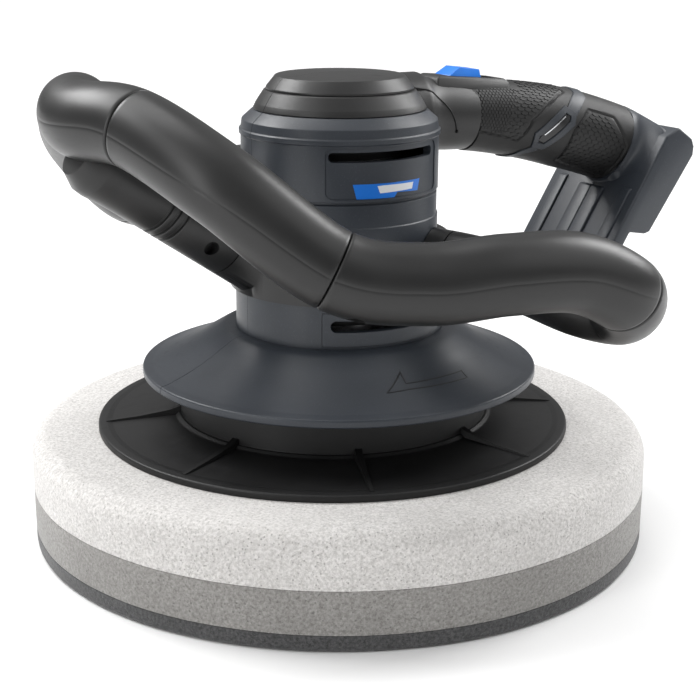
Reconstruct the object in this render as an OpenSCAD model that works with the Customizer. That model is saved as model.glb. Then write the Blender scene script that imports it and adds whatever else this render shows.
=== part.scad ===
// Cordless dual action polisher with a ring handle, a D handle and a foam pad.
// Frame: Z is the drive axis, z = 0 the working face of the pad, +X points to
// the D handle and the battery mount, Y is the width. Millimetres.

/* [Foam pad] */
// Radius of the foam pad
pad_r = 120; // [100:1:140]
// Height of the dark base layer
foam_base_h = 6; // [3:0.5:10]
// Height of the grey middle layer
foam_mid_h = 16; // [8:1:24]
// Height of the light top layer
foam_top_h = 19.7; // [14:0.1:26]
// Radius of the rounding along the top edge of the pad
foam_round = 11; // [4:0.5:12]

/* [Backing plate] */
// Radius of the backing plate
plate_r = 91.9; // [80:0.1:98]
// Radius of the drum in the middle of the plate
drum_r = 60; // [54:0.5:64]
// Number of outer ribs on the plate
rib_count = 8; // [4:1:12]

/* [Drive] */
// Distance between the drive axis and the pad axis
orbit = 2.4; // [1.5:0.1:4]
// Direction of the pad axis from the drive axis in degrees
orbit_dir = 150; // [0:5:355]
// Outer radius of both main ball bearings
bearing_r = 14; // [13:0.5:15]
// Radius of the shaft where it runs in the main bearings
shaft_r = 5.95; // [4.5:0.05:7]
// Radial running clearance between a shaft and its bearing
run_gap = 0.05; // [0.02:0.01:0.1]
// Number of blades on the cooling fan
fan_blades = 16; // [8:1:24]

/* [Housing] */
// Outer radius of the motor housing
body_r = 37.4; // [35:0.1:40]
// Outer radius of the collar under the ring handle
collar_r = 40; // [38:0.5:42]
// Outer radius of the skirt rim
skirt_r = 76.5; // [70:0.5:85]
// Wall thickness of the plastic casings
wall = 2.6; // [2:0.1:3.4]
// Height of the label on each side of the housing
label_h = 15; // [8:1:18]

/* [Ring handle] */
// Radius of the ring handle tube
ring_tube_r = 13.8; // [12:0.1:16]
// Radius of the two return bars under the ring handle
bar_r = 12; // [9:0.5:12.5]
// Radius of the front strut
strut_r = 12.3; // [10:0.1:13.5]
// Outer radius of the yoke around the housing
yoke_r = 42; // [40:0.5:46]

/* [D handle] */
// Half height of the grip at its widest
grip_rv = 16.3; // [14:0.1:18]
// Half width of the grip at its widest
grip_rh = 15; // [13:0.1:17]
// Thickness of the soft overmould
over_t = 2.2; // [1.4:0.1:3]
// Travel of the slide switch
switch_travel = 6; // [4:0.5:7]
// Width of the switch button
button_w = 10.4; // [8:0.2:11]

/* [Battery mount] */
// Width of the battery mount
mount_w = 56; // [50:1:66]
// Lean of the battery mount from the vertical in degrees
mount_lean = 32; // [28:1:36]

/* [Hidden] */
$fn = 96;
zf1 = foam_base_h;
zf2 = zf1 + foam_mid_h;
zf3 = zf2 + foam_top_h;
ox = orbit*cos(orbit_dir);
oy = orbit*sin(orbit_dir);
hub_screws = bearing_r + 11;   // radius of the circle of hub screws
zp = zf3 + 1.2;              // underside of the plate web
zh = zp + 4.1;               // top of the plate web inside the drum
z_skirt = 63;                // skirt rim
z_col = 81;                  // collar base
z_yoke = 97.4;               // yoke underside
z_body = 116.9;              // exposed part of the housing
z_top = 164.2;               // top of the housing shell
blue = [0.06,0.49,0.90];
slate = [0.25,0.27,0.31];
black = [0.10,0.10,0.10];
rubber = [0.13,0.13,0.13];
steel = [0.72,0.72,0.74];
alu = [0.78,0.78,0.80];
brass = [0.80,0.62,0.30];

// ---- curves and shells ---------------------------------------------------
function cr(a,b,c,d,t) = 0.5*((2*b) + (c-a)*t + (2*a-5*b+4*c-d)*t*t + (3*b-a-3*c+d)*t*t*t);
function path(C,m) = concat([for (i=[1:len(C)-3]) for (k=[0:m-1]) cr(C[i-1],C[i],C[i+1],C[i+2],k/m)], [C[len(C)-2]]);
function unit(v) = v/norm(v);
function tans(P) = [for (i=[0:len(P)-1]) unit(P[min(i+1,len(P)-1)]-P[max(i-1,0)])];
function cut(L,a,b) = [for (i=[a:b]) L[i]];

// A wall between an outer and an inner grid of points. Each grid is a list of
// rows, each row a list of points. wrap closes each row on itself. keep(i,k)
// says whether the cell between rows i and i+1 at column k is there.
module wall_grid(O,I,wrap,keep) {
  nr = len(O);
  nc = len(O[0]);
  kc = wrap ? nc : nc-1;
  N = nr*nc;
  function on(i,k) = i >= 0 && i < nr-1 && (wrap || (k >= 0 && k < kc)) && keep(i,(k+kc)%kc);
  faces = [for (i=[0:nr-2]) for (k=[0:kc-1]) if (on(i,k))
    let (k2=(k+1)%nc, a=i*nc+k, b=i*nc+k2, c=a+nc, d=b+nc)
    each concat([[a,c,b],[b,c,d],[N+a,N+b,N+c],[N+b,N+d,N+c]],
      on(i-1,k) ? [] : [[a,b,N+a],[b,N+b,N+a]],
      on(i+1,k) ? [] : [[c,N+c,d],[d,N+c,N+d]],
      on(i,k-1) ? [] : [[a,N+a,c],[c,N+a,N+c]],
      on(i,k+1) ? [] : [[b,d,N+b],[d,N+d,N+b]])];
  polyhedron(concat([for (r=O) each r],[for (r=I) each r]), faces);
}
function loop_at(P,T,r,n) = let (s=unit(cross(T,[0,0,1])), u=cross(s,T)) [for (k=[0:n-1]) P + r*cos(360*k/n)*s + r*sin(360*k/n)*u];

module half_space(s) { translate([-300, s > 0 ? 0 : -300, 0]) cube([600,300,400]); }
module ring(r1,r2,z1,z2) { translate([0,0,z1]) difference() { cylinder(r=r2,h=z2-z1); translate([0,0,-1]) cylinder(r=r1,h=z2-z1+2); } }
module side(s) { if (s > 0) children(); else mirror([0,1,0]) children(); }

// ---- foam pad ----------------------------------------------------------
module foam_base() { color([0.29,0.29,0.29]) rotate_extrude()
  polygon([[0,0],[pad_r-1.6,0],[pad_r,1.6],[pad_r,zf1],[0,zf1]]); }
module foam_mid() { color([0.58,0.57,0.56]) translate([0,0,zf1]) cylinder(r=pad_r,h=foam_mid_h); }
module foam_top() { color([0.87,0.86,0.85]) rotate_extrude()
  polygon(concat([[0,zf2],[pad_r,zf2]],
    [for (k=[0:8]) [pad_r-foam_round+foam_round*cos(k*11.25), zf3-foam_round+foam_round*sin(k*11.25)]],
    [[0,zf3]])); }
module hook_disc() { color([0.2,0.2,0.2]) translate([0,0,zf3]) intersection() {
  translate([ox,oy,0]) cylinder(r=plate_r-3.9,h=1.2); cylinder(r=pad_r-foam_round-2,h=2); } }

// ---- backing plate and hub ---------------------------------------------
module backing_plate() { color(black) translate([ox,oy,0]) difference() { plate_body();
  for (k=[0:3]) rotate([0,0,45+k*90]) translate([hub_screws,0,zp-1]) cylinder(r=1.9,h=8,$fn=32); } }
module plate_body() { union() {
  rotate_extrude() polygon([[10.5,zp],[plate_r-3.9,zp],[plate_r-3.9,zf3],[plate_r,zf3],[plate_r,zf3+2.6],
    [drum_r+1,zh-0.4],[drum_r+1,zh+0.6],[drum_r,zh+0.6],[drum_r,zh+14.5],[drum_r-3,zh+14.5],[drum_r-3,zh],[10.5,zh]]);
  for (k=[0:rib_count-1]) rotate([0,0,-21.5+k*360/rib_count]) rotate([90,0,0])
    translate([0,0,-0.9]) linear_extrude(1.8)
      polygon([[drum_r-0.5,zh-1.5],[plate_r-3,zf3+2.2],[plate_r-3,zf3+2.9],[drum_r+6,zh+2.6],[drum_r-0.5,zh+4]]);
  for (k=[0:7]) rotate([0,0,22.5+k*45]) translate([hub_screws+7,-1,zh-1]) cube([drum_r-hub_screws-9,2,8]);
} }
module plate_hub() { color(alu) translate([ox,oy,0]) difference() {
  union() { translate([0,0,zh]) cylinder(r=hub_screws+5,h=3); translate([0,0,zh]) cylinder(r=bearing_r+4.5,h=10.5); }
  translate([0,0,zh-1]) cylinder(r=10.5,h=20);
  translate([0,0,zh+2]) cylinder(r=bearing_r,h=20);
  for (k=[0:3]) rotate([0,0,45+k*90]) translate([hub_screws,0,zh-1]) cylinder(r=2.2,h=6,$fn=32);
} }
module plate_screws() { color(steel) translate([ox,oy,0]) for (k=[0:3]) rotate([0,0,45+k*90]) translate([hub_screws,0,0])
  difference() {
    union() { translate([0,0,zh-3]) cylinder(r=1.9,h=6,$fn=32); translate([0,0,zh+3]) cylinder(r=4,h=2.4,$fn=32); }
    translate([0,0,zh+4.2]) cylinder(r=1.9,h=3,$fn=6); } }
module orbit_bearing() { color(steel) translate([ox,oy,0]) ring(shaft_r+run_gap,bearing_r,zh+2,zh+10); }

// ---- rotating drive ----------------------------------------------------
module retaining_bolt() { color(steel) translate([ox,oy,0]) difference() {
  union() { translate([0,0,zh-2.9]) cylinder(r=6,h=3.2,$fn=6); translate([0,0,zh+0.3]) cylinder(r=8.4,h=1.4); translate([0,0,zh]) cylinder(r=3,h=14); }
  translate([0,0,zh-3.5]) cylinder(r=1.4,h=1.6,$fn=32); } }
module eccentric() { color(steel) difference() {
  union() {
    translate([0,0,zh+16.5]) cylinder(r=15,h=13);
    translate([ox,oy,zh+1.7]) cylinder(r=shaft_r,h=15);
    translate([ox,oy,zh+10.2]) cylinder(r=8,h=7);
  }
  translate([ox,oy,zh]) cylinder(r=3,h=14);
  translate([0,0,zh+20]) cylinder(r=shaft_r,h=20);
} }
module counterweight() { color([0.45,0.45,0.46]) rotate([0,0,orbit_dir+180]) translate([0,0,zh+18]) difference() {
  intersection() { cylinder(r=36,h=9); rotate([0,0,-65]) cube([40,40,9]); }
  translate([0,0,-1]) cylinder(r=15.05,h=12);
  for (a=[-25,25]) rotate([0,0,a-0]) translate([28,0,3]) cylinder(r=2.2,h=10,$fn=32);
} }
module drive_shaft() { color(steel) union() {
  translate([0,0,zh+20]) cylinder(r=shaft_r,h=99-zh-20);
  translate([0,0,99]) cylinder(r=3.95,h=58.5); } }
module cooling_fan() { color([0.16,0.16,0.17]) union() {
  difference() { translate([0,0,87.4]) cylinder(r=11,h=6.6); translate([0,0,87]) cylinder(r=shaft_r,h=8); }
  ring(10.5,30,87.4,88.8);
  for (k=[0:fan_blades-1]) rotate([0,0,k*360/fan_blades]) translate([14,-0.7,88.2]) rotate([0,0,8]) cube([15,1.4,5.6]);
} }
module armature_core() { color([0.55,0.42,0.30]) difference() {
  translate([0,0,104]) cylinder(r=17,h=35);
  translate([0,0,103]) cylinder(r=3.95,h=37);
  for (k=[0:9]) rotate([0,0,k*36]) translate([15.6,-0.9,103]) cube([3,1.8,37]);
} }
module commutator() { difference() {
  translate([0,0,139.2]) cylinder(r=9.5,h=7.6);
  translate([0,0,139]) cylinder(r=3.95,h=9);
  for (k=[0:11]) rotate([0,0,k*30]) translate([8.7,-0.3,138]) cube([2,0.6,10]);
} }

module armature() { armature_core(); color(brass) commutator(); }

// ---- motor -------------------------------------------------------------
module motor_can() { color(steel) difference() {
  translate([0,0,97.6]) cylinder(r=23,h=50);
  translate([0,0,99.6]) cylinder(r=21,h=50);
  translate([0,0,97]) cylinder(r=9,h=4);
  for (k=[0:3]) rotate([0,0,45+k*90]) translate([15,0,97]) cylinder(r=2,h=4,$fn=32);
} }
module motor_magnets() { color([0.3,0.3,0.3]) for (a=[0,180]) rotate([0,0,a+15]) translate([0,0,104])
  rotate_extrude(angle=150) translate([17.9,0]) square([3.1,35]); }
module motor_endcap() { color([0.18,0.18,0.2]) difference() {
  union() { translate([0,0,147.6]) cylinder(r=23,h=3); translate([0,0,147.6]) cylinder(r=14,h=9); }
  translate([0,0,147]) cylinder(r=9.8,h=3);
  translate([0,0,149.6]) cylinder(r=11,h=8);
  for (a=[60,120,240,300]) rotate([0,0,a]) translate([18.5,-2,147]) cube([3,4,5]);
} }
module motor_mount() { color([0.18,0.18,0.2]) difference() {
  union() { ring(9,32.4,95.2,97.6); ring(23.05,32.4,97.6,101); }
  for (k=[0:3]) rotate([0,0,45+k*90]) translate([15,0,95]) cylinder(r=2,h=4,$fn=32);
} }
module motor_screws() { color(steel) for (k=[0:3]) rotate([0,0,45+k*90]) translate([15,0,0]) union() {
  translate([0,0,95.2]) cylinder(r=1.9,h=4.2,$fn=32); translate([0,0,94.25]) cylinder(r=3.2,h=0.95,$fn=32); } }
module lower_bearing() { color(steel) ring(shaft_r+run_gap,bearing_r,78.6,86.6); }
module upper_bearing() { color(steel) ring(4,11,149.6,156.6); }
module bearing_carrier() { color(alu) difference() {
  union() { ring(bearing_r,37.3,78.6,81.6); ring(bearing_r,bearing_r+4,78.6,86.6); }
  for (k=[0:5]) rotate([0,0,30+k*60]) translate([27.5,0,78]) cylinder(r=5.5,h=5);
} }

// ---- skirt and collar --------------------------------------------------
sk = [[collar_r+6,81],[51,77.2],[56,74.0],[62,70.9],[68,68.5],[skirt_r-2,66.6],[skirt_r,66]];
module skirt_half(s) { color(slate) side(s) difference() {
  rotate_extrude(angle=180) polygon(concat([[collar_r,78.6],[collar_r,81]], sk,
    [[skirt_r,z_skirt],[skirt_r-2.4,z_skirt],[skirt_r-2.4,64.4]],
    [for (i=[5:-1:1]) [sk[i][0]-1.2, sk[i][1]-2.5]], [[collar_r+5,78.6]]));
  for (a=[35,145]) rotate([0,0,a]) translate([42.6,0,77]) cylinder(r=1.7,h=6,$fn=32);
} }
module skirt_screws() { color(steel) for (a=[35,145,-35,-145]) rotate([0,0,a]) translate([42.6,0,0]) union() {
  translate([0,0,76.5]) cylinder(r=2.3,h=2.1,$fn=32); translate([0,0,78.4]) cylinder(r=1.65,h=2.2,$fn=32); } }
module collar_half(s) { color(slate) side(s) difference() {
  rotate_extrude(angle=180) polygon([[37.3,78.6],[collar_r,78.6],[collar_r,z_yoke-0.2],[32.5,z_yoke-0.2],[32.5,95.2],[37.3,95.2]]);
  translate([0,0,82]) rotate([0,0,50.4]) rotate_extrude(angle=79.2) translate([36,0]) square([6,12.6]);
} }
module vent_panel(s) { color(slate*0.92) side(s) difference() {
  translate([0,0,82.15]) rotate([0,0,50.7]) rotate_extrude(angle=78.6) translate([37.35,0]) square([collar_r+0.25-37.35,12.3]);
  translate([0,0,87.2]) rotate([0,0,56]) rotate_extrude(angle=68) translate([36,0]) square([6,4.4]);
} }
// ---- motor housing -----------------------------------------------------
module body_profile() polygon([[32.5,z_yoke],[35,z_yoke],[35,z_body],[body_r,z_body],[body_r,125.2],[body_r-0.5,125.4],
  [body_r-0.5,133.6],[body_r-1,134],[body_r-1,134.6],[body_r,134.8],[body_r,155.2],[body_r+0.6,155.6],[body_r+0.6,156.8],
  [body_r,157.2],[body_r-0.6,160.6],[32.7,z_top],[32.7-wall,z_top],[32.7-wall,162.5],[body_r-wall-0.8,159],[body_r-wall-0.2,z_body+2],[32.5,z_body]]);
module body_half(s) { color(slate) side(s) difference() {
  rotate_extrude(angle=180) body_profile();
  translate([0,0,150.7]) rotate([0,0,52]) rotate_extrude(angle=76) translate([32,0]) square([8,3.9]);
  translate([0,0,135.6]) rotate([0,0,50]) rotate_extrude(angle=64) translate([body_r-0.8,0]) square([3,label_h-1.2]);
  neck(13.35,24,60);
} }
module label_half(s) { color(blue) side(s)
  translate([0,0,136]) rotate([0,0,50.7]) rotate_extrude(angle=62.6) translate([body_r-0.8,0]) square([0.7,label_h-2]); }

// ---- D handle ----------------------------------------------------------
function hz(x) = 158 - 0.085*(x-56) - 0.00175*(x-56)*(x-56);
function hs(x) = atan(-0.085 - 0.0035*(x-56));
function ht(x) = min(1,max(0,(x-50)/54));
// point on the grip: station x, angle a round it from the right-hand side, depth d
function hp(x,a,d) = let (f=hs(x), v=(13.6+(grip_rv-13.6)*ht(x)-d)*sin(a))
  [x-v*sin(f), -(12.8+(grip_rh-12.8)*ht(x)-d)*cos(a), hz(x)+v*cos(f)];
function lerp(a,b,t) = a+(b-a)*t;
module handle_wall(xa,xb,a0,a1,d0,d1,nx,na,keep) {
  full = a1-a0 >= 360;
  A = [for (k=[0:full ? na-1 : na]) a0+(a1-a0)*k/na];
  wall_grid([for (i=[0:nx]) [for (a=A) hp(lerp(xa(a),xb(a),i/nx),a,d0)]],
            [for (i=[0:nx]) [for (a=A) hp(lerp(xa(a),xb(a),i/nx),a,d1)]], full, keep);
}
all_on = function(i,k) true;
x_start = function(a) 56;
x_band1 = function(a) 83 + 7*sin(a);
x_band2 = function(a) 95 + 7*sin(a) + 6*cos(a)*cos(a);
x_end = function(a) 131;
module neck(r,x1,x2) { translate([56,0,158]) rotate([0,94.86,0]) translate([0,0,x1-56]) cylinder(r=r,h=x2-x1); }
module sw() { translate([56,0,171.9]) rotate([0,4.86,0]) children(); }
module switch_pocket() { sw() translate([-18,-8.5,-5]) cube([19.6,17,12]); }
module crown_half(s) { color(black) difference() {
  intersection() {
    union() {
      rotate_extrude() polygon([[26,z_top+0.1],[32.7,z_top+0.1],[31.6,166.5],[28.2,171.4],[24.6,171.4],[24.6,169]]);
      neck(13.3,24,56);
    }
    half_space(s);
  }
  translate([0,0,171.4]) cylinder(r=27.9,h=20);
  translate([0,0,140]) cylinder(r=24.6,h=40);
  neck(10.6,10,60);
  switch_pocket();
} }
module core_half(s) { color(black) side(-s)
  handle_wall(x_start,x_end,-90,90,over_t,over_t+wall,18,14,function(i,k) i > 4 || k < 10); }
module cap_half(s) { color(black) side(s) rotate_extrude(angle=180)
  polygon([[0,175.6],[21,173.4],[24.5,171.5],[27.8,171.5],[27.8,172.2],[24.3,176.2],[23,176.8],[0,178]]); }
module shell_screws() { color(steel) for (q=[[78,155.3],[124,144.1]])
  translate([q[0],-9,q[1]]) rotate([-90,0,0]) cylinder(r=1.6,h=18,$fn=32); }
module grip_front() { color(rubber)
  handle_wall(x_start,x_band1,-90,270,0,over_t,12,36,function(i,k) i > 7 || abs(k-17.5) > 5); }
module grip_rear() { color(rubber) handle_wall(x_band2,x_end,-90,270,0,over_t,12,36,all_on); }
module accent_band() { color(slate) handle_wall(x_band1,x_band2,-90,270,-0.4,over_t,6,36,all_on); }
module accent_inserts() { color([0.15,0.15,0.16]) for (s=[-1,1]) side(-s)
  handle_wall(function(a) 86+0.12*a,function(a) 98+0.10*a,-30,30,-1.1,-0.5,4,8,all_on); }

// ---- switch and electrics ----------------------------------------------
module switch_surround() { color(black) sw() difference() {
  union() { translate([-17.8,-8.3,-4.8]) cube([35.6,16.6,5.2]);
    hull() { translate([-17.8,-8.3,0.3]) cube([35.6,16.6,0.4]); translate([-16,-7,1.3]) cube([32,14,0.4]); } }
  translate([-10.5,-button_w/2-0.4,-6]) cube([16.2+switch_travel,button_w+0.8,10]);
} }
module switch_button() { color(blue) sw() union() {
  hull() { translate([-10,-button_w/2,0.6]) cube([15,button_w,0.8]);
    translate([-8.2,-button_w/2+0.8,3.4]) cube([10.5,button_w-1.6,0.4]);
    translate([-5.5,-button_w/2+1.4,4.6]) cube([6,button_w-2.8,0.4]); }
  translate([-9.6,-button_w/2+0.5,-3.6]) cube([14.2,button_w-1,4.4]);
} }
module switch_body() { color([0.12,0.12,0.13]) sw() translate([-12,-7,-15]) cube([26,14,9.6]); }
module control_board() { color([0.1,0.35,0.2]) translate([97,0,150.6]) rotate([0,15.5,0]) translate([-14,-8,-0.8]) union() {
  cube([34,16,1.6]); translate([4,3,1.6]) cube([7,9,3]); translate([15,2,1.6]) cylinder(r=2,h=4,$fn=32);
  translate([24,4,1.6]) cube([6,8,2]); } }

// ---- battery mount -----------------------------------------------------
module mnt() { translate([128,0,128]) rotate([0,mount_lean,0]) children(); }
module mount_half(s) { color(slate) difference() {
  intersection() {
    union() {
      hull() {
        mnt() translate([1.5,-mount_w/2+1.5,20]) cube([10.5,mount_w-3,8.6]);
        mnt() translate([-1,-mount_w/2+1.5,0]) cube([16,mount_w-3,16]);
        translate([131,0,hz(131)]) rotate([0,90-hs(131),0]) scale([grip_rv,grip_rh,1]) cylinder(r=1,h=1,$fn=36);
      }
      mnt() translate([-1,-mount_w/2,-16.5]) cube([17,mount_w,41]);
      mnt() translate([-1,-mount_w/2,-40]) cube([6,mount_w,30]);
      mnt() translate([-2.2,-8,-39]) cube([6,16,33]);
    }
    half_space(s);
  }
  mnt() translate([5,-mount_w/2+4,-60]) cube([20,mount_w-8,80]);
} }
module terminal_block() { color([0.12,0.12,0.13]) mnt() union() {
  translate([5,-14,-12]) cube([7,28,26]);
  for (y=[-10,-3.5,3.5,10]) translate([11,y-0.5,-22]) cube([0.8,1,10]); } }

// ---- ring handle -------------------------------------------------------
RC = [[-94,27,165.5],[-102,0,166],[-94,-27,165.5],[-79.5,-61,150.5],[-51,-83.5,124.5],[-24,-96.2,119.3],[1.7,-105.1,121.2],
  [27,-110,120],[48,-110,110.5],[57,-98,101.8],[51,-83,101.3],[41.5,-61,105.6],[31,-42,108],[24,-30,109],[18,-20,110]];
RP = path(RC,4);
RT = concat([[0,-1,0]], cut(tans(RP),1,len(RP)-1));
function rr(i) = i <= 32 ? ring_tube_r : i >= 40 ? bar_r : ring_tube_r + (bar_r-ring_tube_r)*(i-32)/8;
// tube from station a to station b with a small chamfer at both ends
module tube(P,T,R,n=30) {
  m = len(P)-1;
  PP = concat([P[0],P[0]+0.5*T[0]],cut(P,1,m-1),[P[m]-0.5*T[m],P[m]]);
  TT = concat([T[0]],T,[T[m]]);
  RR = concat([R[0]-0.45],R,[R[m]-0.45]);
  wall_grid([for (i=[0:m+2]) loop_at(PP[i],TT[i],RR[i],n)],
            [for (i=[0:m+2]) loop_at(PP[i],TT[i],min(R[0],R[m])-3.2,n)], true, all_on);
}
module ring_piece(a,b) { tube(cut(RP,a,b),cut(RT,a,b),[for (i=[a:b]) rr(i)]); }
module ring_arm(s) { color(black) side(-s) ring_piece(4,12); }
module ring_side(s) { color(black) side(-s) ring_piece(12,28); }
module ring_end(s) { color(black) side(-s) ring_piece(28,46); }
NP = concat([for (i=[4:-1:1]) [RP[i][0],-RP[i][1],RP[i][2]]],cut(RP,0,4));
NT = concat([for (i=[4:-1:1]) [-RT[i][0],RT[i][1],-RT[i][2]]],cut(RT,0,4));
module ring_nose() { color(black) tube(NP,NT,[for (q=NP) ring_tube_r]); }
module strut_ax() { translate([-98,0,151.8]) rotate([0,124.4,0]) children(); }
module strut() { color(black) difference() {
  strut_ax() rotate_extrude() polygon([[0,-4],[strut_r+0.8,-4],[strut_r,12],[strut_r,28],[strut_r-0.8,28.3],[strut_r-0.8,29],[strut_r,29.3],
      [strut_r,31.5],[strut_r-0.8,31.8],[strut_r-0.8,32.5],[strut_r,32.8],[strut_r,35],[strut_r-0.8,35.3],[strut_r-0.8,36],[strut_r,36.3],
      [strut_r,61],[strut_r-3.2,61],[strut_r-3.2,14],[0,14]]);
  translate([-102,-40,166]) rotate([-90,0,0]) cylinder(r=ring_tube_r+0.3,h=80);
  for (a=[-1,1]) translate([-101.6,0,166]) rotate([0,0,a*16.5]) translate([0,-40,0]) rotate([-90,0,0]) cylinder(r=ring_tube_r+0.1,h=80);
  translate([-60,-20,119]) rotate([-90,0,0]) cylinder(r=2.6,h=40,$fn=32);
} }
module boss(P,T,r) { translate(P) rotate([0,acos(T[2]),atan2(T[1],T[0])]) cylinder(r=r,h=14); }
module yoke() { color(black) difference() {
  union() {
    ring(35.1,yoke_r,z_yoke,z_body-0.3);
    boss(RP[46],RT[46],bar_r);
    mirror([0,1,0]) boss(RP[46],RT[46],bar_r);
    strut_ax() translate([0,0,61]) cylinder(r=strut_r,h=14);
  }
  translate([0,0,z_yoke-6]) cylinder(r=35.1,h=40);
  translate([0,0,z_body-0.3]) cylinder(r=body_r+0.3,h=20);
  translate([0,0,z_yoke-20]) cylinder(r=collar_r+0.4,h=20);
} }

foam_base();
foam_mid();
foam_top();
hook_disc();
backing_plate();
plate_hub();
plate_screws();
orbit_bearing();
retaining_bolt();
eccentric();
counterweight();
drive_shaft();
cooling_fan();
armature();
motor_can();
motor_magnets();
motor_endcap();
motor_mount();
motor_screws();
lower_bearing();
upper_bearing();
bearing_carrier();
skirt_half(-1);  // skirt_right
skirt_half(1);  // skirt_left
skirt_screws();
collar_half(-1);  // collar_right
collar_half(1);  // collar_left
vent_panel(-1);  // vent_panel_right
vent_panel(1);  // vent_panel_left
yoke();
body_half(-1);  // body_right
body_half(1);  // body_left
label_half(-1);  // label_right
label_half(1);  // label_left
crown_half(-1);  // crown_right
crown_half(1);  // crown_left
core_half(-1);  // core_right
core_half(1);  // core_left
cap_half(-1);  // cap_right
cap_half(1);  // cap_left
shell_screws();
grip_front();
grip_rear();
accent_band();
accent_inserts();
switch_surround();
switch_button();
switch_body();
control_board();
mount_half(-1);  // mount_right
mount_half(1);  // mount_left
terminal_block();
ring_nose();
strut();
ring_arm(-1);  // ring_arm_right
ring_arm(1);  // ring_arm_left
ring_side(-1);  // ring_side_right
ring_side(1);  // ring_side_left
ring_end(-1);  // ring_end_right
ring_end(1);  // ring_end_left
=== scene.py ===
import bpy
import bmesh
import numpy as np
from math import sin, cos, pi, radians, degrees, atan, atan2, sqrt, exp
from mathutils import Vector, Matrix


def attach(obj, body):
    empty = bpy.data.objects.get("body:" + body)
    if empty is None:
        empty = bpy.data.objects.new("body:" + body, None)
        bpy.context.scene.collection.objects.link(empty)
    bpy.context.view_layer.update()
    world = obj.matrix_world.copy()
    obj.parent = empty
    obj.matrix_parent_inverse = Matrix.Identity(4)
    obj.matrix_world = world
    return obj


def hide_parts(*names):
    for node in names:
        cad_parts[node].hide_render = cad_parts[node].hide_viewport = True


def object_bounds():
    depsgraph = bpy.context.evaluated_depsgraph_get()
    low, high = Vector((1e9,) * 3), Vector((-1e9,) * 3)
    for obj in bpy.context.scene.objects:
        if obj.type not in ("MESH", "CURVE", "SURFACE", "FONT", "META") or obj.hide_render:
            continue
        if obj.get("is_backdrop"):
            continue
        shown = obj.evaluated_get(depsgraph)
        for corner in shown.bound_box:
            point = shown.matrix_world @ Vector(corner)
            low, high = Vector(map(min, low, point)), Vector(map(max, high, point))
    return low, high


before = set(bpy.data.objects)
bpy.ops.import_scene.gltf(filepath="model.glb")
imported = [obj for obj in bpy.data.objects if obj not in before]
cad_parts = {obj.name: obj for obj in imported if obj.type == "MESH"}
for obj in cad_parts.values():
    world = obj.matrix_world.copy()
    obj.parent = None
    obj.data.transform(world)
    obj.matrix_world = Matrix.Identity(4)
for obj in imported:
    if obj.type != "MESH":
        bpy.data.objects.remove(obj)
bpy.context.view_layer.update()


# ---- Foam pad ---------------------------------------------------------------
# Three discs of open-cell foam bonded into one stack, 240 mm across. A firm
# dark disc is the working face, then a grey one and a soft light one whose top
# edge is cut round. A disc of hook fabric holds the stack to its plate.

class Tone:
    """One value inside a finish, so that sums on it read as plain Python."""

    def __init__(self, finish, socket):
        self.finish, self.socket = finish, socket

    def work(self, how, a, b):
        return self.finish.add("ShaderNodeMath", {"operation": how}, {0: a, 1: b})

    def __add__(self, other): return self.work("ADD", self, other)
    def __sub__(self, other): return self.work("SUBTRACT", self, other)
    def __mul__(self, other): return self.work("MULTIPLY", self, other)


class Finish:
    """A material for one kind of surface on the tool."""

    def __init__(self, name, **fixed):
        self.material = bpy.data.materials.new(name)
        self.material.use_nodes = True
        self.tree = self.material.node_tree
        self.tree.nodes.clear()
        out = self.tree.nodes.new("ShaderNodeOutputMaterial")
        self.shader = self.tree.nodes.new("ShaderNodeBsdfPrincipled")
        self.tree.links.new(self.shader.outputs[0], out.inputs[0])
        for key, value in fixed.items():
            self.shader.inputs[key.replace("_", " ")].default_value = value
        self.place = self.add("ShaderNodeTexCoord", {}, {}, "Object")

    def add(self, kind, settings, inputs, output=0):
        node = self.tree.nodes.new(kind)
        for key, value in settings.items():
            setattr(node, key, value)
        for key, value in inputs.items():
            if isinstance(value, Tone):
                self.tree.links.new(value.socket, node.inputs[key])
            else:
                node.inputs[key].default_value = value
        return Tone(self, node.outputs[output])

    def stretched(self, x, y, z):
        return self.add("ShaderNodeMapping", {}, {"Vector": self.place, "Scale": (x, y, z)})

    def cloud(self, size_mm, detail=2.0, at=None):
        return self.add("ShaderNodeTexNoise", {}, {"Vector": at or self.place, "Scale": 1000 / size_mm, "Detail": detail})

    def cells(self, size_mm, output="Distance"):
        return self.add("ShaderNodeTexVoronoi", {}, {"Vector": self.place, "Scale": 1000 / size_mm}, output)

    def range(self, value, low, high, to_low=0.0, to_high=1.0):
        return self.add("ShaderNodeMapRange", {"clamp": True}, {0: value, 1: low, 2: high, 3: to_low, 4: to_high})

    def between(self, factor, a, b):
        pick = lambda c: c if isinstance(c, Tone) else (*c, 1)
        return self.add("ShaderNodeMix", {"data_type": "RGBA"}, {0: factor, 6: pick(a), 7: pick(b)}, 2)

    def colour(self, value):
        self.tree.links.new(value.socket, self.shader.inputs["Base Color"])

    def rough(self, value):
        self.tree.links.new(value.socket, self.shader.inputs["Roughness"])

    def bump(self, height, depth_mm, strength=1.0):
        bent = self.add("ShaderNodeBump", {}, {"Height": height, "Distance": depth_mm / 1000, "Strength": strength})
        self.tree.links.new(bent.socket, self.shader.inputs["Normal"])


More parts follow.
